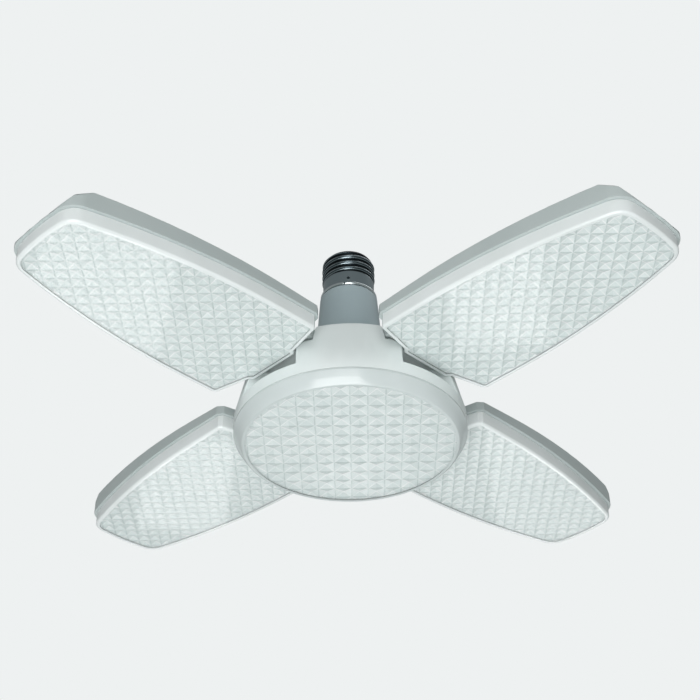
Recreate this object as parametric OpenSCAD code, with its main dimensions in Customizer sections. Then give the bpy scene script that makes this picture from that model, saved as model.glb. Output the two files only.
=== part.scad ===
// Folding garage light: a screw cap lamp with a round hub and four hinged light blades.
// The origin is the face of the centre contact, and the lamp hangs below it along -Z.

/* [Screw cap] */
// Height of the cap from the contact's face to the rim
cap_h = 27.4; // [24:0.1:32]
// Diameter over the thread's ridges
thread_d = 26.3; // [20:0.1:30]
// Rise of the thread in one turn
thread_pitch = 3.62; // [3:0.01:4.5]
// Depth of the rolled thread
thread_depth = 0.95; // [0.5:0.05:1.2]
// Height of the threaded stretch
thread_h = 13.2; // [9:0.1:14]
// Height of the plain band between the thread and the lip
band_h = 6.6; // [4:0.1:9]
// Height of the rolled lip at the rim
lip_h = 2.2; // [1.5:0.1:3]
// Diameter over the rolled lip
lip_d = 28; // [27.5:0.1:31]
// Wall of the cap under the thread's grooves
cap_wall = 0.6; // [0.4:0.05:1]
// Diameter of the centre contact
contact_d = 9.2; // [7:0.1:11]
// Thickness of the centre contact
contact_h = 1.5; // [1:0.1:2]

/* [Neck] */
// Height of the neck from the cap's rim to the dome
neck_h = 30; // [20:1:50]
// Diameter of the neck under the cap
neck_top_d = 28.4; // [26:0.1:34]
// Diameter of the neck where it meets the dome
neck_base_d = 33; // [28:0.1:44]
// Height of the dome between the neck and the hub's wall
dome_h = 20.6; // [14:0.1:30]

/* [Hub] */
// Diameter of the hub at its open rim
hub_d = 109; // [108:0.5:116]
// Diameter at the top of the hub's tapered wall
hub_top_d = 99; // [96:0.5:104]
// Height of the hub's wall
hub_h = 28; // [27.4:0.1:32]
// Wall thickness of the housing
hub_wall = 2.2; // [1.6:0.1:2.6]
// Height of the round flange under the pockets
flange_h = 6; // [5.2:0.1:7]
// Width of the wall panel between two pockets
skirt_w = 47.4; // [40:0.2:54]
// Height of the ledge under the hinges
skirt_h = 19.4; // [18:0.1:19.5]

/* [Hub lens] */
// Depth of the hub lens below the housing's rim
hub_lens_h = 6.8; // [5:0.1:10]
// Step in from the rim to the lens's face
hub_lens_step = 3.1; // [2:0.1:4]
// Thickness of both kinds of lens
lens_wall = 1.3; // [1:0.1:1.6]

/* [Blades] */
// Distance from the lamp's axis to a blade's inner end
blade_in = 42.9; // [42:0.1:46]
// Distance from the lamp's axis to a blade's tip
blade_out = 178.6; // [140:0.1:220]
// Width of a blade at its widest
blade_w = 72; // [66:0.5:80]
// Distance from the lamp's axis to the outer ends of the shoulders beside the hinge
shoulder_u = 53; // [52.6:0.1:54]
// Slant of the shoulders towards the axis, for each millimetre across the blade
slant = 0.22; // [0.1:0.01:0.22]
// Side of the cut-off corners of the shoulders
corner_cut = 2.4; // [1.5:0.1:5]
// Distance from the lamp's axis to where the blade starts to narrow
taper_from = 74.5; // [62:0.5:80]
// Width that the curved long sides narrow to at the tip
tip_w = 41.6; // [34:0.1:60]
// Radius of the blade's tip
tip_r = 120; // [80:5:160]
// Radius of the tip's corners
corner_r = 11; // [9.5:0.5:16]
// Height of the blades' parting plane above the hub's rim
part_z = 21.6; // [21.3:0.1:23]
// Depth of a blade lens below the parting plane
blade_lens_h = 6.9; // [5:0.1:7.2]
// Step in from the blade's edge to its lens
lens_step = 1.5; // [0.8:0.1:2]
// Distance from the lamp's axis to a blade lens's inner end
lens_in = 48; // [47.6:0.1:50]
// Height of the shell's side wall at the inner end
wall_in_h = 4.2; // [3.8:0.1:5]
// Height of the shell's side wall at the tip
wall_out_h = 9.2; // [6:0.1:11]
// How far the tip's top edge leans in
tip_lean = 6.6; // [3:0.1:9]
// Extra height of the raised middle of the back
back_rise = 1.6; // [1.2:0.1:2.2]
// Distance from the blade's edge to the raised middle
back_inset = 9; // [7:0.1:9.2]
// Thickness of the shell's side wall
shell_wall = 1.8; // [1.4:0.1:2]
// Thickness of the shell's back
shell_back = 1.5; // [1.2:0.1:1.6]

/* [Hinges] */
// Diameter of a hinge pin
pin_d = 2.2; // [2:0.1:2.4]
// Length of a hinge pin
pin_l = 12.3; // [11.6:0.1:12.6]
// Distance from the blade's middle line to the near end of a pin
pin_from = 9; // [8.4:0.1:9.2]
// Running clearance round the pin in the blade's knuckles
pin_play = 0.05; // [0.01:0.01:0.1]
// Clearance round the pin in the hub's lugs
lug_grip = 0.01; // [0.01:0.01:0.03]
// Width of a hub lug along the pin
lug_w = 4; // [3.4:0.1:4.4]
// Distance from the blade's middle line to a lug's middle
lug_v = 17; // [16.6:0.1:17.4]
// Diameter of a lug's round end
lug_d = 4.8; // [4.4:0.1:5]
// Gap on each side of a lug
lug_play = 0.3; // [0.2:0.05:0.5]
// Radius of the rounded inner end of a blade
knuckle_r = 3.5; // [3.2:0.1:3.6]
// Gap between the hub's pocket wall and a blade's inner end
pocket_gap = 1.1; // [0.8:0.1:1.6]

/* [Light boards] */
// Thickness of the aluminium light boards
board_t = 1.2; // [1:0.1:1.6]
// Distance from a blade's edge to its light board
board_inset = 5; // [4:0.1:6]
// Height of the gap between the parting plane and a blade's board
board_gap = 0.4; // [0.3:0.1:0.8]
// Side of a light chip
chip_w = 2.8; // [2:0.1:3.5]
// Height of a light chip
chip_h = 0.7; // [0.5:0.1:0.9]
// Distance between chips along a blade
chip_step = 12; // [10:1:20]
// Distance from a blade's middle line to its outer rows of chips
chip_row = 14; // [10:0.5:16]
// Distance from a blade's inner end to its first two board screws
first_screw_u = 19.1; // [18:0.1:24]
// Distance from a blade's middle line to its first two board screws
first_screw_v = 20; // [18:0.5:22]
// Distance from a blade's tip to its last board screw
last_screw_u = 30.6; // [26:0.1:40]
// Diameter of the hub's light board
hub_board_d = 84; // [70:1:86]
// Thickness of the hub's heat plate
plate_t = 1.5; // [1.2:0.1:1.6]
// Diameter of the screws' shank
screw_d = 2.5; // [2.2:0.1:2.8]
// Diameter of the screws' head
screw_head_d = 5; // [4.2:0.1:5.4]

/* [Driver] */
// Width of the driver board
driver_w = 20; // [16:0.5:20.5]
// Length of the driver board
driver_l = 48; // [40:1:50]
// Thickness of the driver board
driver_t = 1.6; // [1:0.1:1.8]
// Diameter of the driver's capacitor
capacitor_d = 8; // [6:0.1:8.4]
// Length of the driver's capacitor
capacitor_l = 14; // [10:0.5:16]
// Diameter of the leads
lead_d = 2; // [1.2:0.1:2]

/* [Hidden] */
SIDES = ["back_right", "back_left", "front_left", "front_right"];
FIRST_AZ = 45;
BLADE_PIECES = ["blade_shell", "blade_lens", "blade_board", "blade_chips", "board_screws",
                "hinge_pins", "blade_lead"];
HUB_PIECES = ["cap_shell", "cap_insulator", "centre_contact", "hub_housing", "hub_lens",
              "heat_plate", "hub_board", "hub_chips", "plate_screws", "driver_board",
              "driver_capacitor", "driver_choke", "driver_chips", "lead_connector",
              "cap_leads", "hub_leads"];

WHITE = "#dfe6e5";
CLEAR = "#cfdcdb";
PLATED = "#9fabb0";
STEEL = "#b9bfc2";
BOARD = "#eef1f0";
CHIP = "#f0e27a";
GREEN = "#2f7d4f";
BLACK = "#26282a";
BRASS = "#c9b070";

SLIP = 0.15;
LEAD_GAP = 0.1;
FAR = 60;
ROUND = 96;
SMALL_ROUND = 40;

// levels, all measured down from the contact's face
rim_z = -cap_h;
hub_z = rim_z - neck_h - dome_h - hub_h;
thread_foot_z = rim_z + lip_h + band_h;
thread_top_z = thread_foot_z + thread_h;

// the housing's radii, and its levels above the hub's rim
neck_r = neck_top_d / 2;
base_r = neck_base_d / 2;
dome_z = hub_h + dome_h;
neck_z = dome_z + neck_h;

// the blade's outline
wide = blade_w / 2;
narrowing = wide - tip_w / 2;
side_r = (pow(blade_out - taper_from, 2) + pow(narrowing, 2)) / (2 * narrowing);
side_c = [taper_from, wide - side_r];
tip_c = [blade_out - tip_r, 0];
blade_l = blade_out - blade_in;

// the hinge's axis, in a blade's own frame: u along the blade, v across it. It clears the
// parting plane by the lugs' play, and the lead that runs along it clears the board
pivot_u = blade_in + knuckle_r;
pivot_z = part_z + max(lug_d / 2 + lug_play, board_gap + board_t + lead_d / 2 + LEAD_GAP);
knuckle_top = pivot_z + knuckle_r;
pocket_u = blade_in - pocket_gap;
block_l = shoulder_u - blade_in + shell_wall;
block_v = 22;
lead_window = 8;
tunnel_l = block_l + 1;
lens_gap = 0.8;
knuckle_end = lug_w / 2 + lug_play;
pin_far = pin_from + pin_l;

// the boards
board_z = part_z + board_gap;
boss_d = 6;
boss_spots = [[blade_in + first_screw_u, first_screw_v], [blade_in + first_screw_u, -first_screw_v],
              [blade_out - last_screw_u, 0]];
plate_z = flange_h - hub_wall - plate_t - 0.2;
hub_board_z = plate_z - board_t;
plate_d = hub_d - 2 * hub_wall - 1.8;
plate_screw_r = hub_d / 2 - 7.7;
screw_l = 6;
screw_head_h = 1.4;

// the driver: the leads leave its connector at the height of the hinges' axes
guide_z = dome_z + 4;
guide_h = 14;
connector_d = 16;
connector_h = 5;
connector_z = pivot_z - connector_h / 2;
driver_z = connector_z + connector_h + SLIP;
lead_bend = 2 * lead_d;
lead_v = -5;
lead_from = sqrt(pow(connector_d / 2, 2) - pow(-lead_v - lead_d / 2, 2)) + SLIP;
spigot_d = thread_d - 2 * thread_depth - 2 * cap_wall - 2 * SLIP;
spigot_h = 11;

function circle_meet(a, ra, b, rb) =
    let (d = norm(b - a), e = (b - a) / d, x = (d * d + ra * ra - rb * rb) / (2 * d))
    a + x * e + sqrt(ra * ra - x * x) * [e[1], -e[0]];

// Distance from the axis to a shoulder drawn in by the distance o, at v across the blade
function shoulder(v, o) = shoulder_u + slant * (v - wide) + o * sqrt(1 + slant * slant);
// One half of the blade's outline, drawn in by the distance o, from the inner end to the tip
function half_outline(o) =
    let (v0 = block_v - o, v1 = wide - o, cut = max(corner_cut - o * (2 - sqrt(2)), 0.2),
         r = max(corner_r - o, 0.5), rs = side_r - o, rt = tip_r - o,
         m = circle_meet(side_c, rs - r, tip_c, rt - r),
         side_end = atan2((m - side_c)[0], (m - side_c)[1]),
         tip_end = atan2((m - tip_c)[1], (m - tip_c)[0]))
    concat(
        [[blade_in + o, v0], [shoulder(v0, o), v0], [shoulder(v1 - cut, o), v1 - cut],
         [shoulder(v1, o) + cut, v1]],
        [for (i = [0:8]) side_c + rs * [sin(side_end * i / 8), cos(side_end * i / 8)]],
        [for (i = [1:6]) let (q = 90 - side_end + (tip_end - 90 + side_end) * i / 6)
            m + r * [cos(q), sin(q)]],
        [for (i = [1:3]) let (q = tip_end * (1 - i / 3)) tip_c + rt * [cos(q), sin(q)]]);
function outline(o) =
    let (half = half_outline(o), n = len(half))
    concat(half, [for (i = [n - 2:-1:0]) [half[i][0], -half[i][1]]]);

// Height of the shell's back above the parting plane at the distance u from the axis
function back_h(u) = wall_in_h + (wall_out_h - wall_in_h) * (u - blade_in) / blade_l;

module at_hub() translate([0, 0, hub_z]) children();
module on_blade(i) at_hub() rotate([0, 0, FIRST_AZ + 90 * i]) children();
module slab(o, z, h) translate([0, 0, z]) linear_extrude(h) polygon(outline(o));
module across(r, from, to) translate([pivot_u, from, pivot_z]) rotate([-90, 0, 0])
    cylinder(r = r, h = to - from, $fn = SMALL_ROUND);
module both_sides() {
    children();
    mirror([0, 1, 0]) children();
}
// A straight stretch of lead from a to b
module lead_run(a, b) {
    d = b - a;
    translate(a) rotate([0, acos(d[2] / norm(d)), atan2(d[1], d[0])])
        cylinder(d = lead_d, h = norm(d), $fn = 24);
}
// A lead along the points p, with a joint a little fatter than itself at each slight turn
module lead(p) {
    for (i = [0:len(p) - 2]) {
        lead_run(p[i], p[i + 1]);
        if (i < len(p) - 2) translate(p[i + 1]) sphere(d = lead_d + 0.3, $fn = 24);
    }
}
// A lead's level quarter bend onto the hinge's axis and its run along it to the cut at the
// blade's middle line, on the blade's side (1) or turned half round to the hub's side (-1)
module lead_on_axis(side) translate([pivot_u, 0, pivot_z]) rotate([0, 0, side > 0 ? 0 : 180]) {
    translate([lead_bend, -lead_v - lead_bend, 0]) rotate([0, 0, 90])
        rotate_extrude(angle = 90, $fn = ROUND) translate([lead_bend, 0])
        circle(d = lead_d, $fn = 24);
    rotate([-90, 0, 0]) translate([0, 0, SLIP])
        cylinder(d = lead_d, h = -lead_v - lead_bend - SLIP, $fn = 24);
}

// ---- screw cap ----

// Radius of the cap's outside at the height z and the angle a
function lip_r(z) =
    let (t = (z - rim_z) / lip_h, body = thread_d / 2 - thread_depth / 2)
    body + (lip_d / 2 - body) * sqrt(max(0, 1 - pow(2 * t - 0.9, 2)));
function thread_r(z, a) =
    let (fade = min(1, max(0, (z - thread_foot_z) / 2), max(0, (thread_top_z - z) / 1.2)),
         wave = cos(360 * ((z - thread_foot_z) / thread_pitch - a / 360)))
    thread_d / 2 - thread_depth / 2 + fade * thread_depth / 2 * wave;
function cap_r(z, a) = z < rim_z + lip_h ? lip_r(z) : thread_r(z, a);

module cap_shell() {
    sides = 40;
    rows = concat([for (i = [0:5]) rim_z + lip_h * i / 5 * 0.95], [thread_foot_z],
                  [for (i = [1:24]) thread_foot_z + thread_h * i / 24]);
    n = len(rows);
    bore = spigot_d / 2 + SLIP;
    outside = [for (z = rows, j = [0:sides - 1]) let (a = 360 * j / sides)
        [cap_r(z, a) * cos(a), cap_r(z, a) * sin(a), z]];
    inside = [for (z = [rows[0], rows[n - 1]], j = [0:sides - 1]) let (a = 360 * j / sides)
        [bore * cos(a), bore * sin(a), z]];
    walls = [for (i = [0:n - 2], j = [0:sides - 1]) let (k = (j + 1) % sides)
        each [[i * sides + j, i * sides + k, (i + 1) * sides + k],
              [i * sides + j, (i + 1) * sides + k, (i + 1) * sides + j]]];
    low = n * sides;
    top = low + sides;
    closing = [for (j = [0:sides - 1]) let (k = (j + 1) % sides)
        each [[low + k, low + j, top + j, top + k],
              [k, j, low + j, low + k],
              [(n - 1) * sides + j, (n - 1) * sides + k, top + k, top + j]]];
    color(PLATED) polyhedron(concat(outside, inside), concat(
        [for (f = walls) [f[0], f[2], f[1]]],
        [for (f = closing) [f[0], f[3], f[2], f[1]]]));
}

module cap_insulator() {
    r = spigot_d / 2;
    shell_top = thread_d / 2 - thread_depth / 2 - cap_wall;
    top = -contact_h;
    color(BLACK) rotate_extrude($fn = ROUND) polygon([
        [1.2, top], [contact_d / 2 + 0.3, top], [contact_d / 2 + 0.8, top - 0.8],
        [shell_top - 0.6, thread_top_z + 0.9], [shell_top - 0.6, thread_top_z + SLIP],
        [r, thread_top_z + SLIP], [r, thread_top_z - 2.2], [1.2, thread_top_z - 2.2]]);
}

module centre_contact() {
    r = contact_d / 2;
    color(BRASS) rotate_extrude($fn = ROUND) polygon([
        [0, 0], [r * 0.55, 0], [r * 0.82, -0.3], [r, -contact_h * 0.7], [r, -contact_h],
        [1.1, -contact_h], [1.1, thread_top_z - 2.6], [0, thread_top_z - 2.6]]);
}

// ---- hub ----

// Outside and inside of the housing, half of its section from the axis out
function housing_outside() = [
    [0, 0], [hub_d / 2, 0], [hub_d / 2, flange_h], [hub_top_d / 2, hub_h - 0.8],
    [hub_top_d / 2 - 0.8, hub_h], [hub_top_d * 0.42, hub_h + dome_h * 0.12],
    [hub_top_d * 0.32, hub_h + dome_h * 0.27], [hub_top_d * 0.24, hub_h + dome_h * 0.45],
    [base_r + 2.2, dome_z - 5], [base_r, dome_z], [base_r - 0.8, dome_z + 8],
    [neck_r, neck_z - 1], [neck_r - 0.6, neck_z - SLIP], [spigot_d / 2, neck_z - SLIP],
    [spigot_d / 2, neck_z + spigot_h], [0, neck_z + spigot_h]];
function housing_inside() = [
    [0, -1], [hub_d / 2 - hub_wall, -1], [hub_d / 2 - hub_wall, flange_h],
    [hub_top_d / 2 - hub_wall, hub_h - hub_wall],
    [hub_top_d * 0.42 - 1, hub_h + dome_h * 0.12 - hub_wall],
    [hub_top_d * 0.32 - 1, hub_h + dome_h * 0.27 - hub_wall],
    [hub_top_d * 0.24 - 1.4, hub_h + dome_h * 0.45 - hub_wall],
    [base_r - hub_wall + 0.6, dome_z - 5], [base_r - hub_wall, dome_z],
    [neck_r - hub_wall, neck_z - 4], [spigot_d / 2 - 1.6, neck_z],
    [spigot_d / 2 - 1.6, neck_z + spigot_h + 1], [0, neck_z + spigot_h + 1]];

// The room for one blade's inner end, made bigger by the wall w
module pocket(w) {
    half = block_v + lens_gap + w;
    translate([pocket_u - w, -half, skirt_h - w]) cube([FAR, 2 * half, 2 * FAR]);
    intersection() {
        translate([pocket_u - w, -FAR, flange_h - w]) cube([FAR, 2 * FAR, FAR]);
        rotate([0, 0, -45]) translate([skirt_w / 2 - w, skirt_w / 2 - w, 0]) cube(FAR);
    }
}
module hinge_lug() translate([0, lug_v, 0]) {
    reach = pivot_u - pocket_u + hub_wall;
    translate([pivot_u - reach, -lug_w / 2, pivot_z - lug_d / 2]) cube([reach, lug_w, lug_d]);
    across(lug_d / 2, -lug_w / 2, lug_w / 2);
}
module screw_boss() {
    base = plate_z + plate_t;
    wall = hub_d / 2 - hub_wall + 0.3;
    translate([plate_screw_r, 0, base]) cylinder(d = boss_d, h = screw_l + 2, $fn = SMALL_ROUND);
    translate([plate_screw_r, -1, base]) cube([wall - plate_screw_r, 2, flange_h + 4 - base]);
}
// The grooved block that holds one edge of the driver board
module board_guide() translate([driver_w / 2 - 1.4, -2.4, guide_z])
    cube([neck_r - driver_w / 2 + 1.4, 4.8, guide_h]);
module hub_housing() color(WHITE) at_hub() difference() {
    union() {
        difference() {
            rotate_extrude($fn = ROUND) polygon(housing_outside());
            for (i = [0:3]) rotate([0, 0, FIRST_AZ + 90 * i]) pocket(0);
            difference() {
                rotate_extrude($fn = ROUND) polygon(housing_inside());
                for (i = [0:3]) rotate([0, 0, FIRST_AZ + 90 * i]) pocket(hub_wall);
            }
        }
        for (i = [0:3]) rotate([0, 0, FIRST_AZ + 90 * i]) both_sides() hinge_lug();
        for (i = [0:3]) rotate([0, 0, 90 * i]) screw_boss();
        for (s = [0, 180]) rotate([0, 0, s]) board_guide();
    }
    for (i = [0:3]) rotate([0, 0, FIRST_AZ + 90 * i]) {
        both_sides() across(pin_d / 2 + lug_grip, lug_v - lug_w, lug_v + lug_w);
        translate([pocket_u - 2 * hub_wall, lead_v, pivot_z]) rotate([0, 90, 0])
            cylinder(d = lead_d + 1, h = 3 * hub_wall, $fn = SMALL_ROUND);
    }
    for (i = [0:3]) rotate([0, 0, 90 * i]) translate([plate_screw_r, 0, 0])
        cylinder(d = screw_d + 0.1, h = plate_z + plate_t + screw_l, $fn = SMALL_ROUND);
    translate([-driver_w / 2 - SLIP, -driver_t / 2 - SLIP, guide_z - 1])
        cube([driver_w + 2 * SLIP, driver_t + 2 * SLIP, guide_h + 2]);
}

module hub_lens() {
    r = hub_d / 2;
    face_r = r - hub_lens_step;
    color(CLEAR) at_hub() rotate_extrude($fn = ROUND) polygon([
        [0, -hub_lens_h], [face_r - 1, -hub_lens_h], [face_r, -hub_lens_h + 0.8], [r, -1.2],
        [r, -SLIP], [r - hub_wall - SLIP, -SLIP], [r - hub_wall - SLIP, 1.2],
        [r - hub_wall - SLIP - lens_wall, 1.2], [r - hub_wall - SLIP - lens_wall, -1.2],
        [face_r - lens_wall, -hub_lens_h + lens_wall], [0, -hub_lens_h + lens_wall]]);
}

module heat_plate() color(STEEL) at_hub() difference() {
    translate([0, 0, plate_z]) cylinder(d = plate_d, h = plate_t, $fn = ROUND);
    translate([0, 0, plate_z - 1]) cylinder(d = lead_d + 1, h = plate_t + 2, $fn = SMALL_ROUND);
    for (i = [0:3]) rotate([0, 0, 90 * i]) translate([plate_screw_r, 0, plate_z - 1])
        cylinder(d = screw_d + 0.4, h = plate_t + 2, $fn = SMALL_ROUND);
}

module hub_board() color(BOARD) at_hub() translate([0, 0, hub_board_z])
    cylinder(d = hub_board_d, h = board_t, $fn = ROUND);

module light_chip() translate([-chip_w / 2, -chip_w / 2, -chip_h]) cube([chip_w, chip_w, chip_h]);

module hub_chips() color(CHIP) at_hub() translate([0, 0, hub_board_z])
    for (ring = [[11, 6], [23, 12], [35, 18]], i = [0:ring[1] - 1])
        rotate([0, 0, 360 * i / ring[1]]) translate([ring[0], 0, 0]) light_chip();

module screw(z) translate([0, 0, z]) {
    translate([0, 0, -screw_head_h]) difference() {
        cylinder(d = screw_head_d, h = screw_head_h, $fn = SMALL_ROUND);
        for (a = [0, 90]) rotate([0, 0, a]) translate([-1.4, -0.3, -1]) cube([2.8, 0.6, 1.8]);
    }
    cylinder(d = screw_d, h = screw_l, $fn = SMALL_ROUND);
}
module plate_screws() color(STEEL) at_hub() for (i = [0:3]) rotate([0, 0, 90 * i])
    translate([plate_screw_r, 0, 0]) screw(plate_z);

// ---- driver ----

module driver_board() color(GREEN) at_hub() translate([-driver_w / 2, -driver_t / 2, driver_z])
    cube([driver_w, driver_t, driver_l]);

module driver_capacitor() color(BLACK) at_hub()
    translate([0, driver_t / 2 + SLIP + capacitor_d / 2, driver_z + 2])
    rotate_extrude($fn = SMALL_ROUND) polygon([
        [0, 0], [capacitor_d / 2 - 0.4, 0], [capacitor_d / 2, 0.5], [capacitor_d / 2, 1.6],
        [capacitor_d / 2 - 0.4, 2], [capacitor_d / 2, 2.4], [capacitor_d / 2, capacitor_l - 0.5],
        [capacitor_d / 2 - 0.4, capacitor_l], [0, capacitor_l]]);

module driver_choke() color(BRASS) at_hub()
    translate([0, -driver_t / 2 - SLIP, driver_z + 9]) rotate([90, 0, 0])
    rotate_extrude($fn = SMALL_ROUND) polygon([
        [0, 0], [5, 0], [5, 1.2], [3.4, 1.2], [3.4, 5.4], [5, 5.4], [5, 6.6], [0, 6.6]]);

module driver_chips() color(BLACK) at_hub() {
    side = driver_t / 2 + SLIP;
    translate([-3, -side - 1.5, driver_z + 19]) cube([6, 1.5, 5]);
    translate([-6, side, driver_z + 22]) cube([4.6, 1.6, 3.6]);
    translate([1.4, side, driver_z + 22]) cube([4.6, 1.6, 3.6]);
}

module lead_connector() color(WHITE) at_hub() translate([0, 0, connector_z])
    cylinder(d = connector_d, h = connector_h, $fn = SMALL_ROUND);

module cap_leads() color(BLACK) {
    top = hub_z + driver_z + driver_l;
    foot = thread_top_z - 2.6 - SLIP;
    near = driver_t / 2 + lead_d / 2 + SLIP;
    wall = spigot_d / 2 - 1.6 - lead_d / 2 - SLIP;
    lead([[0, near, top - 3], [0, near, top + 2], [0, 0, foot - 4], [0, 0, foot]]);
    lead([[0, -near, top - 3], [0, -near, top + 2], [0, -wall, rim_z + spigot_h - 2]]);
}

module hub_leads() color(BLACK) {
    at_hub() lead_run([0, 0, hub_board_z + board_t + SLIP], [0, 0, connector_z - SLIP]);
    for (i = [0:3]) on_blade(i) {
        lead_run([lead_from, lead_v, pivot_z], [pivot_u - lead_bend, lead_v, pivot_z]);
        lead_on_axis(-1);
    }
}

// ---- blades ----

// The side view of a shell's solid, from the plane at z up to the back, lowered by the cut c
module side_profile(z, c, rise) rotate([90, 0, 0]) translate([0, 0, -FAR]) linear_extrude(2 * FAR)
    polygon([
        [blade_in - 1, z], [blade_out + 1, z], [blade_out - c, part_z],
        [blade_out - c - tip_lean, part_z + back_h(blade_out) + rise - c],
        [blade_in - 1, part_z + back_h(blade_in - 1) + rise - c]]);

module shell_solid(o, c) {
    intersection() {
        slab(o, part_z - 1, FAR);
        side_profile(part_z - (c > 0 ? 1 : 0), c, 0);
    }
    intersection() {
        slab(back_inset + o, part_z - 1, FAR);
        side_profile(part_z - (c > 0 ? 1 : 0), c, back_rise);
    }
}
module knuckle_block() intersection() {
    slab(0, part_z, FAR);
    translate([blade_in - 1, -block_v, part_z])
        cube([block_l + 1, 2 * block_v, knuckle_top - part_z]);
}
// What is left of the shell once its inner end is rounded about the hinge's axis
module rounded_end() rotate([90, 0, 0]) translate([0, 0, -FAR]) linear_extrude(2 * FAR)
    polygon(concat(
        [[blade_out + 1, part_z - 1], [blade_in, part_z - 1]],
        [for (i = [0:8]) [pivot_u, pivot_z] + knuckle_r * [-cos(90 * i / 8), sin(90 * i / 8)]],
        [[pivot_u, part_z + FAR], [blade_out + 1, part_z + FAR]]));
// The opening that the lead comes in by, with a roof over it behind the hinge's axis
module lead_way() {
    mouth = knuckle_r + lead_d / 2 + 0.6;
    translate([blade_in - 1, -lead_window, part_z - 1])
        cube([mouth + 1, 2 * lead_window, FAR]);
    translate([blade_in, -lead_window, part_z - 1])
        cube([tunnel_l, 2 * lead_window, pivot_z + lead_d / 2 + 0.3 - part_z + 1]);
}
module lug_slot() translate([blade_in - 2, lug_v - knuckle_end, part_z - 1])
    cube([pivot_u - blade_in + 2 + lug_d / 2 + 3 * lug_play, 2 * knuckle_end, FAR]);

module blade_shell() color(WHITE) difference() {
    intersection() {
        union() {
            difference() {
                shell_solid(0, 0);
                shell_solid(shell_wall, shell_back);
            }
            knuckle_block();
            intersection() {
                shell_solid(0, 0);
                for (p = boss_spots) translate([p[0], p[1], board_z + board_t + SLIP])
                    cylinder(d = boss_d, h = FAR, $fn = SMALL_ROUND);
            }
        }
        rounded_end();
    }
    both_sides() lug_slot();
    both_sides() across(pin_d / 2 + pin_play, lead_window - 1, wide);
    lead_way();
    for (p = boss_spots) translate([p[0], p[1], board_z])
        cylinder(d = screw_d + 0.1, h = board_t + 3.4, $fn = SMALL_ROUND);
}

// A slab of the lens, whose inner end narrows between the shoulders to fit between two panels
module lens_slab(o, z, h) {
    d = o - lens_step;
    side = (skirt_w / 2 + lens_gap + d) * sqrt(2);
    end = lens_in + d;
    meet = shoulder(-side, o) / (1 - slant);
    half = [[end, end - side], [meet, meet - side], [shoulder(FAR, o), FAR],
            [blade_out + FAR, FAR]];
    intersection() {
        slab(o, z, h);
        translate([0, 0, z - 1]) linear_extrude(h + 2)
            polygon(concat(half, [for (i = [3:-1:0]) [half[i][0], -half[i][1]]]));
    }
}
module blade_lens() color(CLEAR) {
    low = part_z - blade_lens_h;
    tongue = shell_wall + SLIP;
    difference() {
        union() {
            lens_slab(lens_step + 0.7, low, 1);
            lens_slab(lens_step, low + 0.7, blade_lens_h - 0.7 - SLIP);
            difference() {
                lens_slab(tongue, part_z - 1, 2.4);
                translate([blade_in - 1, -FAR, part_z - SLIP])
                    cube([block_l + 1 + SLIP, 2 * FAR, FAR]);
                translate([blade_out - tip_lean - 3, -FAR, part_z - SLIP])
                    cube([FAR, 2 * FAR, FAR]);
            }
        }
        lens_slab(tongue + 1, low + lens_wall, FAR);
    }
}

module blade_board() color(BOARD) difference() {
    intersection() {
        slab(board_inset, board_z, board_t);
        translate([blade_in + tunnel_l + 1, -FAR, 0]) cube([blade_l, 2 * FAR, FAR]);
    }
    for (p = boss_spots) translate([p[0], p[1], board_z - 1])
        cylinder(d = screw_d + 0.4, h = board_t + 2, $fn = SMALL_ROUND);
}

module blade_chips() {
    first = boss_spots[0][0] + chip_step / 2;
    count = floor((blade_out - board_inset - 8 - first) / chip_step);
    color(CHIP) for (k = [0:count], s = [-1, 0, 1]) {
        u = first + k * chip_step;
        if (s != 0 || abs(u - boss_spots[2][0]) > screw_head_d)
            translate([u, s * chip_row, board_z]) light_chip();
    }
}

module board_screws() color(STEEL) for (p = boss_spots) translate([p[0], p[1], 0])
    translate([0, 0, board_z]) board_screw();
module board_screw() {
    translate([0, 0, -screw_head_h]) cylinder(d = screw_head_d, h = screw_head_h, $fn = SMALL_ROUND);
    cylinder(d = screw_d, h = board_t + 3, $fn = SMALL_ROUND);
}

module hinge_pins() color(STEEL) both_sides() across(pin_d / 2, pin_from, pin_far);

module blade_lead() color(BLACK) {
    lead_run([pivot_u + lead_bend, -lead_v, pivot_z], [blade_in + tunnel_l + 6, -lead_v, pivot_z]);
    lead_on_axis(1);
}

cap_shell();
cap_insulator();
centre_contact();
hub_housing();
hub_lens();
heat_plate();
hub_board();
hub_chips();
plate_screws();
driver_board();
driver_capacitor();
driver_choke();
driver_chips();
lead_connector();
cap_leads();
hub_leads();
for (i = [0:3]) {
    side = SIDES[i];
    on_blade(i) blade_shell();
    on_blade(i) blade_lens();
    on_blade(i) blade_board();
    on_blade(i) blade_chips();
    on_blade(i) board_screws();
    on_blade(i) hinge_pins();
    on_blade(i) blade_lead();
}
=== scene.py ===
from math import cos, pi, radians, sin

import bmesh
import bpy
from mathutils import Matrix, Quaternion, Vector


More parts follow.
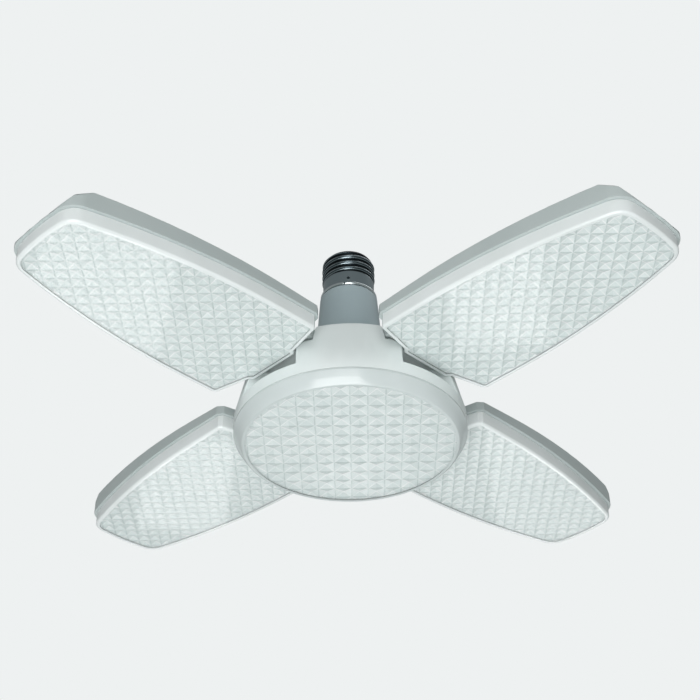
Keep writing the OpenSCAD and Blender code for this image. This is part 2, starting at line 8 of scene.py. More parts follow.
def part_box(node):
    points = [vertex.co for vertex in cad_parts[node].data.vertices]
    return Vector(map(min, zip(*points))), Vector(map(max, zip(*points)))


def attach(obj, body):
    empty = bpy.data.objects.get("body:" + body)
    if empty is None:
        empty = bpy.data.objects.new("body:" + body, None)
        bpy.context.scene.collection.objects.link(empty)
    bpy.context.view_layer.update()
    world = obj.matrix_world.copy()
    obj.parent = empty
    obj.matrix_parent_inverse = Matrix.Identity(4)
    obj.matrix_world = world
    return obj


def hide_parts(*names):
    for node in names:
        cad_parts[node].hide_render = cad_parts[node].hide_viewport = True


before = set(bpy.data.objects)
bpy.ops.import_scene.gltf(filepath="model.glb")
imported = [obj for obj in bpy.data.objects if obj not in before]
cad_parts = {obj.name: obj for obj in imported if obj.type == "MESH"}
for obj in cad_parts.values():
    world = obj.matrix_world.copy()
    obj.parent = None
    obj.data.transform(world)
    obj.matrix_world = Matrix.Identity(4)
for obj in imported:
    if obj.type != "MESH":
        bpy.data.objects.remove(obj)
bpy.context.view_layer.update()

MM = 0.001

# ---- Screw cap shell ----
# A cap of thin sheet steel, drawn, rolled to a knuckle thread and nickel plated. Its rim is
# rolled out into a lip that sits on the neck's shoulder, with the open seam of the roll in it,
# and one punched stake on the plain band holds the cap to the neck.


def linear(colour, alpha=1.0):
    """An sRGB hex colour as the linear values that a shader takes."""
    parts = [int(colour[i:i + 2], 16) / 255 for i in (1, 3, 5)]
    return [c / 12.92 if c < 0.04045 else ((c + 0.055) / 1.055) ** 2.4 for c in parts] + [alpha]


def add(tree, kind, settings=None, **inputs):
    """Adds a node with its settings, and with a value or a link for each named input."""
    made = tree.nodes.new("ShaderNode" + kind)
    for name, value in (settings or {}).items():
        setattr(made, name, value)
    for name, value in inputs.items():
        key = int(name[1:]) if name[0] == "_" and name[1:].isdigit() else name.replace("_", " ")
        if isinstance(value, bpy.types.NodeSocket):
            tree.links.new(value, made.inputs[key])
        else:
            made.inputs[key].default_value = value
    return made


def finish_of(name, **inputs):
    """Starts a material. Returns it, its tree, its shader and the object's own coordinates."""
    made = bpy.data.materials.new(name)
    made.use_nodes = True
    tree = made.node_tree
    shader = tree.nodes["Principled BSDF"]
    for key, value in inputs.items():
        shader.inputs[key.replace("_", " ")].default_value = value
    return made, tree, shader, add(tree, "TexCoord").outputs["Object"]


def painted(tree, shader, factor, stops):
    """Colours a shader by a factor, with the sRGB stops (place, colour)."""
    ramp = add(tree, "ValToRGB", Fac=factor)
    while len(ramp.color_ramp.elements) < len(stops):
        ramp.color_ramp.elements.new(0.5)
    for element, (place, colour) in zip(ramp.color_ramp.elements, stops):
        element.position = place
        element.color = linear(colour)
    tree.links.new(ramp.outputs["Color"], shader.inputs["Base Color"])


def edit(piece=None):
    """Goes into edit mode on a piece alone, with all of it selected, or on what is active."""
    if piece:
        bpy.ops.object.select_all(action="DESELECT")
        piece.select_set(True)
        bpy.context.view_layer.objects.active = piece
    bpy.ops.object.mode_set(mode="EDIT")
    bpy.ops.mesh.select_all(action="SELECT")


def done():
    """Back to object mode. Returns the piece."""
    bpy.ops.object.mode_set(mode="OBJECT")
    return bpy.context.active_object


def pick(kind, test):
    """In edit mode, selects only the vertices, edges or faces that pass a test."""
    bpy.ops.mesh.select_mode(type={"verts": "VERT", "edges": "EDGE", "faces": "FACE"}[kind])
    bpy.ops.mesh.select_all(action="DESELECT")
    shape = bmesh.from_edit_mesh(bpy.context.edit_object.data)
    for part in getattr(shape, kind):
        if test(part):
            part.select_set(True)
    shape.select_flush_mode()
    bmesh.update_edit_mesh(bpy.context.edit_object.data)


def applied(piece, kind, **settings):
    """Adds one modifier to a piece and applies it."""
    bpy.ops.object.select_all(action="DESELECT")
    piece.select_set(True)
    bpy.context.view_layer.objects.active = piece
    step = piece.modifiers.new(kind.title(), kind)
    for name, value in settings.items():
        setattr(step, name, value)
    bpy.ops.object.modifier_apply(modifier=step.name)
    return piece


def smooth(piece, angle=30):
    """Shades a piece smooth across edges up to an angle in degrees."""
    bpy.ops.object.select_all(action="DESELECT")
    piece.select_set(True)
    bpy.context.view_layer.objects.active = piece
    bpy.ops.object.shade_smooth_by_angle(angle=radians(angle))
    return piece


cap_low, cap_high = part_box("cap_shell")
THREAD_R = 13.15 * MM
THREAD_DEPTH = 0.95 * MM
PITCH = 3.62 * MM
THREAD_H = 13.2 * MM
RUN_IN = 2 * MM  # the thread fades in over this height at its foot
RUN_OUT = 1.2 * MM
TOP_TUCK = 0.7 * MM  # how far the sheet is drawn in at the top
LIP_H = 2.2 * MM
SHEET = 0.5 * MM
STAKE_H = 4.7 * MM
STAKE_R = 0.75 * MM
STAKE_DEPTH = 0.3 * MM
SEAM = (0.55 * MM, 2 * MM, 1.3 * MM)
SEAM_X = -1.9 * MM
ROWS = 84
body_r = THREAD_R - THREAD_DEPTH / 2
lip_r = cap_high.x
thread_foot = cap_high.z - THREAD_H
rings = []
for k in range(11):
    a = radians(-50 + 14 * k)
    rings.append((cap_low.z + LIP_H * (0.45 + 0.45 * sin(a)),
                  body_r + (lip_r - body_r) * cos(a), 0, 0))
for k in range(1, 15):
    rings.append((cap_low.z + LIP_H + (thread_foot - cap_low.z - LIP_H) * k / 15, body_r, 0, 0))
for k in range(ROWS + 1):
    up = THREAD_H * k / ROWS
    fade = min(1, up / RUN_IN, (THREAD_H - up) / RUN_OUT)
    turn = 2 * pi * up / PITCH
    tuck = TOP_TUCK * max(0, (up / THREAD_H - 0.93) / 0.07) ** 2
    rings.append((thread_foot + up, body_r - tuck,
                  fade * THREAD_DEPTH / 2 * cos(turn), fade * THREAD_DEPTH / 2 * sin(turn)))
bpy.ops.object.select_all(action="DESELECT")
bpy.ops.mesh.primitive_circle_add(vertices=160, radius=rings[0][1], enter_editmode=True)
bpy.context.active_object.name = "screw_cap"
bpy.ops.transform.translate(value=(0, 0, rings[0][0]))
for (z0, r0, x0, y0), (z1, r1, x1, y1) in zip(rings, rings[1:]):
    bpy.ops.mesh.extrude_region_move(TRANSFORM_OT_translate={"value": (x1 - x0, y1 - y0, z1 - z0)})
    bpy.ops.transform.resize(value=(r1 / r0, r1 / r0, 1), center_override=(x1, y1, z1))
stake = Vector((0, -body_r, cap_low.z + STAKE_H))
pick("verts", lambda v: (v.co - stake).length < STAKE_R)
bpy.ops.transform.translate(value=(0, -STAKE_DEPTH, 0), use_proportional_edit=True,
                            proportional_edit_falloff="SMOOTH", proportional_size=0.6 * MM)
bpy.ops.mesh.select_all(action="SELECT")
bpy.ops.mesh.normals_make_consistent(inside=False)
cap = done()
applied(cap, "SOLIDIFY", thickness=SHEET, offset=-1)
bpy.ops.mesh.primitive_cube_add(size=1, enter_editmode=True)
bpy.ops.transform.resize(value=SEAM, center_override=(0, 0, 0))
bpy.ops.transform.translate(value=(SEAM_X, -lip_r + 0.3 * MM, cap_low.z + 0.9 * MM))
seam = done()
applied(cap, "BOOLEAN", operation="DIFFERENCE", object=seam, solver="EXACT")
bpy.data.objects.remove(seam)
smooth(cap, 40)

# Nickel-plated steel, coloured by the distance from the axis: mid grey on the plain band, painted
# shade in the grooves and just under the crests, near black and dark grey, and a painted highlight
# on the crests, which are also bright and slightly soft where rubbed. The eye sees fine rings left
# by the rolling.
nickel, tree, shader, place = finish_of("nickel_plated_steel", Metallic=1.0)
flat = add(tree, "VectorMath", {"operation": "MULTIPLY"}, _0=place, _1=(1, 1, 0)).outputs["Vector"]
radius = add(tree, "VectorMath", {"operation": "LENGTH"}, _0=flat).outputs["Value"]
crest = add(tree, "MapRange", Value=radius, From_Min=THREAD_R - THREAD_DEPTH * 0.75,
            From_Max=THREAD_R + THREAD_DEPTH * 0.25).outputs["Result"]
stain = add(tree, "TexNoise", Vector=place, Scale=260, Detail=4).outputs["Fac"]
# painted shade in the grooves and just under the crests, and a painted highlight on the crests, by
# radius, with random stains
shade_and_wear = add(tree, "Math", {"operation": "MULTIPLY_ADD"}, _0=stain, _1=0.2, _2=crest).outputs["Value"]
painted(tree, shader, shade_and_wear, [(0.0, "#181e22"), (0.2, "#242c30"), (0.29, "#9eabb0"),
                             (0.43, "#9eabb0"), (0.5, "#2f393e"), (0.76, "#4c595f"),
                             (0.84, "#a3afb4"), (0.92, "#dfe7e9")])
rough = add(tree, "MapRange", Value=shade_and_wear, To_Min=0.36, To_Max=0.2).outputs["Result"]
tree.links.new(rough, shader.inputs["Roughness"])
rolled = add(tree, "Mapping", Vector=place, Scale=(120, 120, 4500)).outputs["Vector"]
rings_left = add(tree, "TexNoise", Vector=rolled, Scale=1, Detail=2).outputs["Fac"]
bump = add(tree, "Bump", Height=rings_left, Strength=0.12, Distance=0.05 * MM).outputs["Normal"]
tree.links.new(bump, shader.inputs["Normal"])
cap.data.materials.clear()
cap.data.materials.append(nickel)
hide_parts("cap_shell")
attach(cap, "hub")


# ---- Cap insulator and centre contact ----
# The insulator is a ring of black glass, poured hot into the top of the cap. The centre contact
# is a brass disc pressed into it, with a low button of solder over the end of the lead.


def finish_node(node, material):
    """Gives a CAD node its finish."""
    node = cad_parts[node]
    node.data.materials.clear()
    node.data.materials.append(material)


# Black lamp glass: near black with a violet cast, glossy, its surface rippled as it set.
glass, tree, shader, place = finish_of("black_lamp_glass", Roughness=0.08, IOR=1.52)
ripple = add(tree, "TexNoise", Vector=place, Scale=320, Detail=3).outputs["Fac"]
painted(tree, shader, ripple, [(0.3, "#141216"), (0.7, "#2a262e")])
bump = add(tree, "Bump", Height=ripple, Strength=0.3, Distance=0.3 * MM).outputs["Normal"]
tree.links.new(bump, shader.inputs["Normal"])
finish_node("cap_insulator", glass)

# Tinned brass: yellow metal at the rim, greyer and rougher where the solder button lies.
brass, tree, shader, place = finish_of("tinned_brass", Metallic=1.0)
flat = add(tree, "VectorMath", {"operation": "MULTIPLY"}, _0=place, _1=(1, 1, 0)).outputs["Vector"]
radius = add(tree, "VectorMath", {"operation": "LENGTH"}, _0=flat).outputs["Value"]
patches = add(tree, "TexNoise", Vector=place, Scale=900, Detail=4).outputs["Fac"]
edge = add(tree, "Math", {"operation": "MULTIPLY_ADD"}, _0=patches, _1=1.2 * MM, _2=radius)
solder = add(tree, "MapRange", Value=edge.outputs["Value"], From_Min=2.9 * MM,
             From_Max=4.4 * MM).outputs["Result"]
painted(tree, shader, solder, [(0.3, "#aeb2b3"), (0.7, "#c0a468")])
rough = add(tree, "MapRange", Value=patches, To_Min=0.25, To_Max=0.5).outputs["Result"]
tree.links.new(rough, shader.inputs["Roughness"])
bump = add(tree, "Bump", Height=patches, Strength=0.35, Distance=0.1 * MM).outputs["Normal"]
tree.links.new(bump, shader.inputs["Normal"])
finish_node("centre_contact", brass)


# ---- Hub housing ----
# One moulding of white ABS: the neck, the dome under it, the tapering wall with its four corner
# pockets and the lugs that carry the blades, and the round flange that the lens snaps into.


def recut(node, name):
    """A piece of its own from a CAD node, its loose triangles merged into clean faces."""
    piece = bpy.data.objects.new(name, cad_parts[node].data.copy())
    bpy.context.collection.objects.link(piece)
    piece.data.materials.clear()
    bpy.ops.object.select_all(action="DESELECT")
    piece.select_set(True)
    bpy.context.view_layer.objects.active = piece
    bpy.ops.mesh.customdata_custom_splitnormals_clear()
    edit()
    bpy.ops.mesh.remove_doubles(threshold=0.003 * MM)
    bpy.ops.mesh.dissolve_limited(angle_limit=radians(0.4))
    return done()


def rounded(piece):
    """Rounds the edges of a moulding, and shades it so that its flats stay flat."""
    applied(piece, "BEVEL", width=0.35 * MM, segments=2, limit_method="ANGLE",
            angle_limit=radians(35), use_clamp_overlap=False, harden_normals=False)
    smooth(piece, 35)
    applied(piece, "WEIGHTED_NORMAL", keep_sharp=True, weight=100)


CREASE_H = 29.5 * MM
crease_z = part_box("hub_housing")[0].z + CREASE_H
housing = recut("hub_housing", "housing")
edit()
bpy.ops.mesh.bisect(plane_co=(0, 0, crease_z), plane_no=(0, 0, 1))
done()
rounded(housing)


def moulded(name, low, high):
    """Moulded ABS: a satin skin with a fine spark-eroded grain, faintly clouded.

    The grain is drawn coarser than its real 0.1 mm so that it shows.
    """
    made, tree, shader, place = finish_of(name, IOR=1.54, Roughness=0.4)
    cloud = add(tree, "TexNoise", Vector=place, Scale=26, Detail=3).outputs["Fac"]
    painted(tree, shader, cloud, [(0.3, low), (0.7, high)])
    grain = add(tree, "TexNoise", Vector=place, Scale=2600, Detail=2).outputs["Fac"]
    rough = add(tree, "MapRange", Value=grain, To_Min=0.33, To_Max=0.46).outputs["Result"]
    tree.links.new(rough, shader.inputs["Roughness"])
    bump = add(tree, "Bump", Height=grain, Strength=0.12, Distance=0.08 * MM).outputs["Normal"]
    tree.links.new(bump, shader.inputs["Normal"])
    return made


# The wall is a cool white. The neck above the crease is the same moulding, painted greyer and
# bluer: this is painted shade.
abs_white = moulded("moulded_white_abs", "#e2eae9", "#eaf0ef")
housing.data.materials.append(abs_white)
# the neck's material: the housing's ABS painted greyer and bluer, as painted shade
housing.data.materials.append(moulded("neck_abs_painted_shade", "#b4c5ca", "#bccdd1"))
edit()
pick("faces", lambda f: f.calc_center_median().z > crease_z)
bpy.context.object.active_material_index = 1
bpy.ops.object.material_slot_assign()
done()
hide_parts("hub_housing")
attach(housing, "hub")


# ---- Hub lens ----
# A shallow round tray of clear polycarbonate that snaps into the housing. Its skirt and outer
# face are smooth, and square prisms on the inside of the face spread the light.


def in_cell(value, pitch):
    """How far a place is from the middle of its prism, in halves of the pitch."""
    return abs((value / pitch) % 1 - 0.5) * 2


def level(face, z):
    """True for a face at a height, to within the merging of its corners."""
    return abs(face.calc_center_median().z - z) < 0.02 * MM


def cut_prisms(floor_z, pitch, depth, reach):
    """In edit mode, cuts the level floor at floor_z into square prisms along X and Y.

    It also gives the faces their materials: the skin, the prisms' facets or the wall.
    """
    def on_floor(face):
        return face.normal.z > 0.5 and level(face, floor_z)

    low, high = reach
    for x, y, first, last in ((1, 0, low, high), (0, 1, low, high),
                              (1, 1, 2 * low, 2 * high), (1, -1, low - high, high - low)):
        for k in range(int(first // pitch), int(last // pitch) + 2):
            offset = k * pitch / (x * x + y * y)
            pick("faces", on_floor)
            bpy.ops.mesh.bisect(plane_co=(x * offset, y * offset, floor_z), plane_no=(x, y, 0),
                                threshold=0.002 * MM)
    shape = bmesh.from_edit_mesh(bpy.context.edit_object.data)
    shape.normal_update()
    floor = {f for f in shape.faces if on_floor(f)}
    for vertex in {v for f in floor for v in f.verts if floor.issuperset(v.link_faces)}:
        edge = max(in_cell(vertex.co.x, pitch), in_cell(vertex.co.y, pitch))
        vertex.co.z += depth * (1 - edge)
    for face in shape.faces:
        if face in floor:
            face.material_index = 1
        elif abs(face.normal.z) < 0.9:
            face.material_index = 2
        face.smooth = face not in floor and face.normal.z > -0.99
    bmesh.update_edit_mesh(bpy.context.edit_object.data)


def rim_skin(skin_z, width):
    """In edit mode, parts off the rim of the flat skin, which lies over the wall and no prisms."""
    pick("faces", lambda f: f.normal.z < -0.99 and level(f, skin_z))
    bpy.ops.mesh.inset(thickness=width, use_select_inset=True)
    shape = bmesh.from_edit_mesh(bpy.context.edit_object.data)
    for face in shape.faces:
        if face.select:
            face.material_index = 2
    bmesh.update_edit_mesh(bpy.context.edit_object.data)


HUB_PRISM = 8 * MM
HUB_PRISM_DEPTH = 0.8 * MM
LENS_WALL = 1.3 * MM
lens_low, lens_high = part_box("hub_lens")
hub_lens = smooth(recut("hub_lens", "hub_lens_cover"), 25)
edit()
rim_skin(lens_low.z, LENS_WALL)
cut_prisms(lens_low.z + LENS_WALL, HUB_PRISM, HUB_PRISM_DEPTH, (lens_low.x, lens_high.x))
done()

# Clear polycarbonate: hard, very glossy and nearly colourless, with the faint grey green of a
# thick edge. The skin shows the prisms behind it, and its face is never quite flat.
clear, tree, shader, place = finish_of("clear_moulded_polycarbonate", IOR=1.585, Roughness=0.06,
                                       Alpha=0.2)
sink = add(tree, "TexNoise", Vector=place, Scale=14, Detail=1).outputs["Fac"]
painted(tree, shader, sink, [(0.3, "#dde6e5"), (0.7, "#e8efee")])
bump = add(tree, "Bump", Height=sink, Strength=0.2, Distance=0.8 * MM).outputs["Normal"]
tree.links.new(bump, shader.inputs["Normal"])


LINE_W = 0.5 * MM


def prismatic(name, pitch):
    """The prisms' facets: clear polycarbonate that fills with the light of the board behind it.

    Thin painted lines follow the grooves and the ridges: painted shade along the grooves and
    painted highlights along the ridges. Each facet is a shade off its neighbours.
    """
    made, tree, shader, place = finish_of(name, IOR=1.585, Roughness=0.24)
    split = add(tree, "SeparateXYZ", Vector=place).outputs
    near = [add(tree, "Math", {"operation": "PINGPONG"}, _0=split[axis], _1=pitch / 2).outputs[0]
            for axis in "XY"]
    groove_shade = add(tree, "Math", {"operation": "MINIMUM"}, _0=near[0], _1=near[1]).outputs[0]
    # painted shade: a dark line along each groove
    groove_shade = add(tree, "MapRange", Value=groove_shade, From_Max=LINE_W, To_Min=-0.4,
                 To_Max=0).outputs[0]
    ridge_highlight = add(tree, "Math", {"operation": "SUBTRACT"}, _0=near[0], _1=near[1]).outputs[0]
    ridge_highlight = add(tree, "Math", {"operation": "ABSOLUTE"}, _0=ridge_highlight).outputs[0]
    # painted highlight: a light line along each ridge
    ridge_highlight = add(tree, "MapRange", Value=ridge_highlight, From_Max=LINE_W, To_Min=0.45, To_Max=0).outputs[0]
    lines = add(tree, "Math", {"operation": "ADD"}, _0=groove_shade, _1=ridge_highlight).outputs[0]
    facet = add(tree, "Math", {"operation": "GREATER_THAN"}, _0=near[0], _1=near[1]).outputs[0]
    cell = add(tree, "VectorMath", {"operation": "SNAP"}, _0=place, _1=(pitch / 2,) * 3).outputs[0]
    cell = add(tree, "VectorMath", {"operation": "SCALE"}, _0=cell, Scale=2000).outputs[0]
    shade = add(tree, "TexWhiteNoise", {"noise_dimensions": "4D"}, Vector=cell, W=facet).outputs[0]
    tone = add(tree, "Math", {"operation": "MULTIPLY_ADD"}, _0=shade, _1=0.35, _2=lines).outputs[0]
    tone = add(tree, "Math", {"operation": "ADD"}, _0=tone, _1=0.4).outputs[0]
    painted(tree, shader, tone, [(0.0, "#aebcbb"), (0.4, "#d9e3e2"), (0.75, "#e8efee"),
                                 (1.0, "#ffffff")])
    return made


hub_facets = prismatic("prismatic_polycarbonate_wide", HUB_PRISM)

def milky(name, low, high):
    """The side walls: the same plastic seen along its depth. Their pale milky colour is painted
    light, the light that the depth gathers.
    """
    made, tree, shader, place = finish_of(name, IOR=1.585, Roughness=0.16, Alpha=0.85)
    depth = add(tree, "TexNoise", Vector=place, Scale=40, Detail=2).outputs["Fac"]
    painted(tree, shader, depth, [(0.3, low), (0.7, high)])
    return made


# The hub's skirt is painted a darker grey than the blades' walls of the same plastic: painted
# shade.
for material in (clear, hub_facets, milky("clear_polycarbonate_skirt", "#d0d9d8", "#d9e1e1")):
    hub_lens.data.materials.append(material)
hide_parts("hub_lens")
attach(hub_lens, "hub")


# ---- Light boards and heat plate ----
# Aluminium boards, screen printed with white solder mask, carry the light chips. The hub's board
# is backed by a turned aluminium plate. Every board is held by small zinc-plated screws.
SIDES = ("back_right", "back_left", "front_left", "front_right")

# White solder mask: an even, slightly glossy white print with a faint orange peel.
mask, tree, shader, place = finish_of("white_solder_mask", Roughness=0.32, IOR=1.5)
peel = add(tree, "TexNoise", Vector=place, Scale=500, Detail=2).outputs["Fac"]
painted(tree, shader, peel, [(0.3, "#e2e6e4"), (0.7, "#eef1ef")])
bump = add(tree, "Bump", Height=peel, Strength=0.15, Distance=0.05 * MM).outputs["Normal"]
tree.links.new(bump, shader.inputs["Normal"])
finish_node("hub_board", mask)

# Light chip: a white ceramic-filled body, its face a well of yellow phosphor gel.
phosphor, tree, shader, place = finish_of("phosphor_light_chip", Roughness=0.3, IOR=1.45)
face = add(tree, "SeparateXYZ", Vector=add(tree, "NewGeometry").outputs["Normal"]).outputs["Z"]
well = add(tree, "Math", {"operation": "LESS_THAN"}, _0=face, _1=-0.5).outputs["Value"]
gel = add(tree, "TexNoise", Vector=place, Scale=1500, Detail=1).outputs["Fac"]
tone = add(tree, "Math", {"operation": "MULTIPLY_ADD"}, _0=gel, _1=0.15, _2=well).outputs["Value"]
painted(tree, shader, tone, [(0.4, "#eceeea"), (1.0, "#efdf6a")])
finish_node("hub_chips", phosphor)

# Rolled aluminium sheet: grey white with straight brushed lines, left from the mill.
sheet, tree, shader, place = finish_of("rolled_aluminium_sheet", Metallic=1.0)
lines = add(tree, "Mapping", Vector=place, Scale=(30, 2500, 30)).outputs["Vector"]
brushed = add(tree, "TexNoise", Vector=lines, Scale=1, Detail=3).outputs["Fac"]
painted(tree, shader, brushed, [(0.3, "#b4b9bb"), (0.7, "#cfd3d4")])
rough = add(tree, "MapRange", Value=brushed, To_Min=0.28, To_Max=0.42).outputs["Result"]
tree.links.new(rough, shader.inputs["Roughness"])
finish_node("heat_plate", sheet)

# Zinc-plated steel: bluish grey, bright, clouded by the passivation.
zinc, tree, shader, place = finish_of("zinc_plated_steel", Metallic=1.0)
cloud = add(tree, "TexNoise", Vector=place, Scale=700, Detail=3).outputs["Fac"]
painted(tree, shader, cloud, [(0.3, "#9ea6ab"), (0.7, "#c3c9cc")])
rough = add(tree, "MapRange", Value=cloud, To_Min=0.22, To_Max=0.4).outputs["Result"]
tree.links.new(rough, shader.inputs["Roughness"])
finish_node("plate_screws", zinc)
for side in SIDES:
    finish_node("blade_board_" + side, mask)
    finish_node("blade_chips_" + side, phosphor)
    finish_node("board_screws_" + side, zinc)
    finish_node("hinge_pins_" + side, zinc)


# ---- Driver and leads ----
# The driver board stands in two grooves inside the neck, with its capacitor, choke and chips
# soldered on. Sleeved leads run from it to the cap, and from the connector to each board.

# Green solder mask over glass fibre: copper tracks show through it as paler bands.
board, tree, shader, place = finish_of("green_solder_mask", Roughness=0.3, IOR=1.5)
tracks = add(tree, "TexBrick", Vector=place, Scale=260, Mortar_Size=0.12).outputs["Fac"]
painted(tree, shader, tracks, [(0.0, "#1f5f3c"), (1.0, "#3c8f5c")])
bump = add(tree, "Bump", Height=tracks, Strength=0.2, Distance=0.05 * MM).outputs["Normal"]
tree.links.new(bump, shader.inputs["Normal"])
finish_node("driver_board", board)

# Heat-shrunk black sleeve, with the one pale stripe that marks the negative lead.
sleeve, tree, shader, place = finish_of("black_shrink_sleeve", Roughness=0.35, IOR=1.5)
across = add(tree, "SeparateXYZ", Vector=place).outputs["X"]
stripe = add(tree, "Math", {"operation": "GREATER_THAN"}, _0=across, _1=3 * MM).outputs["Value"]
painted(tree, shader, stripe, [(0.3, "#1b1d20"), (0.7, "#9aa1a6")])
finish_node("driver_capacitor", sleeve)

# Enamelled copper wire, wound in level turns on the choke's bobbin.
winding, tree, shader, place = finish_of("enamelled_copper_wire", Metallic=1.0, Roughness=0.28)
turns = add(tree, "TexWave", {"bands_direction": "Y"}, Vector=place, Scale=600).outputs["Fac"]
painted(tree, shader, turns, [(0.2, "#6d3f22"), (0.8, "#c07f4c")])
bump = add(tree, "Bump", Height=turns, Strength=0.6, Distance=0.2 * MM).outputs["Normal"]
tree.links.new(bump, shader.inputs["Normal"])
finish_node("driver_choke", winding)

# Black epoxy: matt, with the fine pits of the moulding compound.
epoxy, tree, shader, place = finish_of("black_moulding_epoxy", IOR=1.5)
pits = add(tree, "TexNoise", Vector=place, Scale=3000, Detail=2).outputs["Fac"]
painted(tree, shader, pits, [(0.3, "#17191b"), (0.7, "#2b2e31")])
rough = add(tree, "MapRange", Value=pits, To_Min=0.5, To_Max=0.7).outputs["Result"]
tree.links.new(rough, shader.inputs["Roughness"])
finish_node("driver_chips", epoxy)
finish_node("lead_connector", abs_white)

# Black silicone sleeve: soft and dusty, with a dull sheen.
silicone, tree, shader, place = finish_of("black_silicone_sleeve", Roughness=0.55, IOR=1.41,
                                          Sheen_Weight=0.3)
dust = add(tree, "TexNoise", Vector=place, Scale=800, Detail=3).outputs["Fac"]
painted(tree, shader, dust, [(0.35, "#1a1b1d"), (0.75, "#34373a")])
for node in ["cap_leads", "hub_leads"] + ["blade_lead_" + side for side in SIDES]:
    finish_node(node, silicone)


# ---- Blade lenses ----
# Long clear trays, snapped into the blades' shells, with the same prisms at a finer pitch. The
# prisms lie square to the lamp and not to the blade, as all four are cut from one pattern.
BLADE_PRISM = 5.8 * MM
BLADE_PRISM_DEPTH = 1.0 * MM
LENS_STEP = 0.7 * MM
blade_low, blade_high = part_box("blade_lens_back_right")
blade_floor = blade_low.z + LENS_WALL


def on_ledge(vertex):
    """True for the lens's ledge corners, which stand straight over the corners of its face."""
    return abs(vertex.co.z - blade_low.z - LENS_STEP) < 0.02 * MM and any(
        abs(e.other_vert(vertex).co.z - blade_low.z) < 0.02 * MM for e in vertex.link_edges)


first_lens = recut("blade_lens_back_right", "blade_cover_back_right")
edit()
pick("faces", lambda f: f.normal.z < -0.99 and level(f, blade_low.z + LENS_STEP))
bpy.ops.mesh.quads_convert_to_tris(ngon_method="BEAUTY")
pick("verts", on_ledge)
bpy.ops.transform.translate(value=(0, 0, -LENS_STEP))
bpy.ops.mesh.select_all(action="SELECT")
bpy.ops.mesh.remove_doubles(threshold=0.01 * MM)
rim_skin(blade_low.z, LENS_WALL)
pick("edges", lambda e: all(v.co.z < blade_low.z + LENS_STEP * 1.05 for v in e.verts)
     and e.calc_face_angle(0) > radians(30))
bpy.ops.mesh.bevel(offset=0.3 * MM, segments=2, affect="EDGES")
smooth(done(), 25)
edit(first_lens)
cut_prisms(blade_floor, BLADE_PRISM, BLADE_PRISM_DEPTH, (blade_low.x, blade_high.x))
done()
for material in (clear, prismatic("prismatic_polycarbonate_narrow", BLADE_PRISM),
                 milky("clear_polycarbonate_wall", "#eef4f3", "#f6fbfb")):
    first_lens.data.materials.append(material)


def around(first, name):
    """The four like pieces of the blades: the first one and its copies, turned a quarter each."""
    pieces = [first]
    for k in (1, 2, 3):
        piece = first.copy()
        piece.data = first.data.copy()
        piece.name = name + "_" + SIDES[k]
        piece.data.transform(Matrix.Rotation(pi / 2 * k, 4, "Z"))
        bpy.context.collection.objects.link(piece)
        pieces.append(piece)
    return zip(pieces, SIDES)


for lens, side in around(first_lens, "blade_cover"):
    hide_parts("blade_lens_" + side)
    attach(lens, "blade_" + side)


# ---- Blade shells ----
# Trays of ABS, painted greyer than the housing: the grey is painted shade. The wall grows towards
# the slanted tip, the back has a raised middle, and the rounded inner end turns on two pins in the
# housing's lugs.
TIP_CUT = 2 * MM
first_shell = recut("blade_shell_back_right", "blade_tray_back_right")
for across in (-1, 1):
    # the moulding's top corners at the tip are taken off
    lean = Matrix.Rotation(pi / 4, 3, "Z") @ Vector((0.55, 0.45 * across, 0.7)).normalized()
    corner = max((v.co for v in first_shell.data.vertices), key=lean.dot).copy()
    edit(first_shell)
    bpy.ops.mesh.bisect(plane_co=corner - lean * TIP_CUT, plane_no=lean, use_fill=True,
                        clear_outer=True)
    done()
rounded(first_shell)
# the trays' grey is painted shade
first_shell.data.materials.append(moulded("tray_abs_painted_shade", "#b5bfbe", "#bdc6c5"))
for shell, side in around(first_shell, "blade_tray"):
    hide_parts("blade_shell_" + side)
    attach(shell, "blade_" + side)


# ---- Studio ----
# A pale floor well below the hanging lamp, a plain pale world, and seven soft lamps: two in front,
# which fill the lenses, one above, and four small ones low behind, whose glare lies on the blades.
FLOOR_Z = -1.9
bpy.ops.object.select_all(action="DESELECT")
bpy.ops.mesh.primitive_plane_add(size=16, enter_editmode=True)
bpy.ops.transform.translate(value=(0, 0, FLOOR_Z))
floor = done()
floor.name = "floor"
plaster, tree, shader, place = finish_of("pale_floor", Roughness=0.9)
mottle = add(tree, "TexNoise", Vector=place, Scale=3, Detail=3).outputs["Fac"]
painted(tree, shader, mottle, [(0.3, "#dfe3e3"), (0.7, "#e6e9e9")])
seen = add(tree, "LightPath").outputs["Is Camera Ray"]
glow = add(tree, "Math", {"operation": "MULTIPLY"}, _0=seen, _1=0.55).outputs["Value"]
shader.inputs["Emission Color"].default_value = linear("#e6e9e9")
tree.links.new(glow, shader.inputs["Emission Strength"])
floor.data.materials.append(plaster)

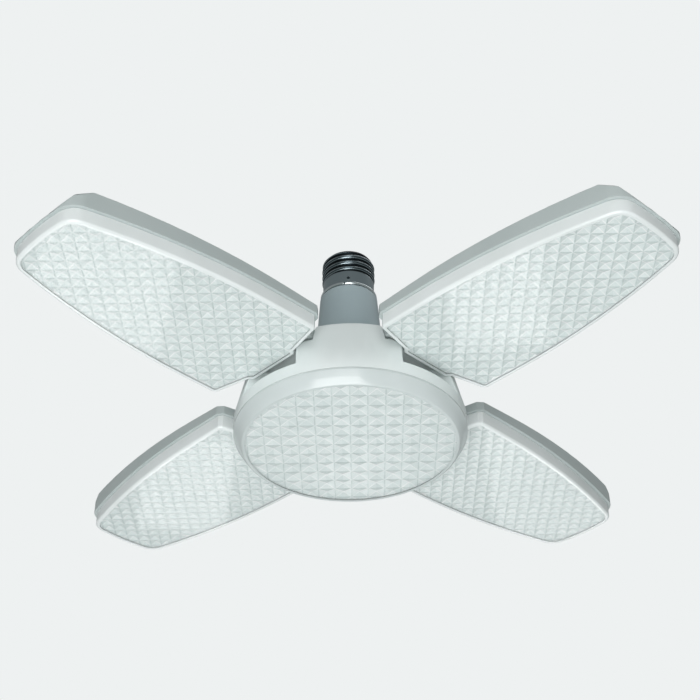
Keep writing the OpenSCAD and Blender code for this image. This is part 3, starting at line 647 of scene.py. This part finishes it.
world = bpy.data.worlds.new("studio")
world.use_nodes = True
bpy.context.scene.world = world
tree = world.node_tree
rays = add(tree, "LightPath").outputs
shown = add(tree, "Math", {"operation": "MAXIMUM"}, _0=rays["Is Camera Ray"],
            _1=rays["Is Transmission Ray"]).outputs["Value"]
light = tree.nodes["Background"]
light.inputs["Color"].default_value = linear("#e9eeee")
light.inputs["Strength"].default_value = 0.32
backdrop = add(tree, "Background", Color=linear("#eef1f1"), Strength=1.0)
mixed = add(tree, "MixShader", _0=shown, _1=light.outputs["Background"],
            _2=backdrop.outputs["Background"])
tree.links.new(mixed.outputs["Shader"], tree.nodes["World Output"].inputs["Surface"])


def soft_lamp(name, place, aim, size, radiance):
    """A square soft lamp that the camera doesn't see, of a given radiance."""
    data = bpy.data.lights.new(name, "AREA")
    data.shape = "SQUARE"
    data.size = size
    data.energy = radiance * pi * size * size
    lamp = bpy.data.objects.new(name, data)
    bpy.context.collection.objects.link(lamp)
    lamp.location = place
    lamp.rotation_euler = (Vector(aim) - Vector(place)).to_track_quat("-Z", "Y").to_euler()
    lamp.visible_camera = False


CENTRE = (0, 0, -0.06)
soft_lamp("key_below", (-0.25, -1.1, -1.5), CENTRE, 1.3, 5.0)
soft_lamp("front", (0.1, -1.9, -0.3), CENTRE, 0.9, 3.0)
soft_lamp("top", (0.4, 0.5, 1.4), CENTRE, 1.0, 1.6)
soft_lamp("gloss_left", (-0.31, 0.85, -0.86), CENTRE, 0.17, 6)
soft_lamp("gloss_right", (0.18, 0.85, -0.82), CENTRE, 0.12, 6)
soft_lamp("gloss_far", (-0.19, 0.85, -0.56), CENTRE, 0.1, 6)
soft_lamp("gloss_near", (0.22, 0.85, -0.56), CENTRE, 0.13, 4)

camera_data = bpy.data.cameras.new("camera")
camera_data.lens = 75.22
camera_data.sensor_width = 36
camera = bpy.data.objects.new("camera", camera_data)
bpy.context.collection.objects.link(camera)
CAMERA_AT = Vector((2.079, -573.603, -475.668)) * MM
CAMERA_AIM = Vector((0.277, 0, -57.418)) * MM
CAMERA_ROLL = Quaternion((0, 0, 1), radians(-0.798))
camera.location = CAMERA_AT
camera.rotation_euler = (
    (CAMERA_AIM - CAMERA_AT).to_track_quat("-Z", "Y") @ CAMERA_ROLL).to_euler()
bpy.context.scene.camera = camera
bpy.context.scene.view_settings.view_transform = "Standard"
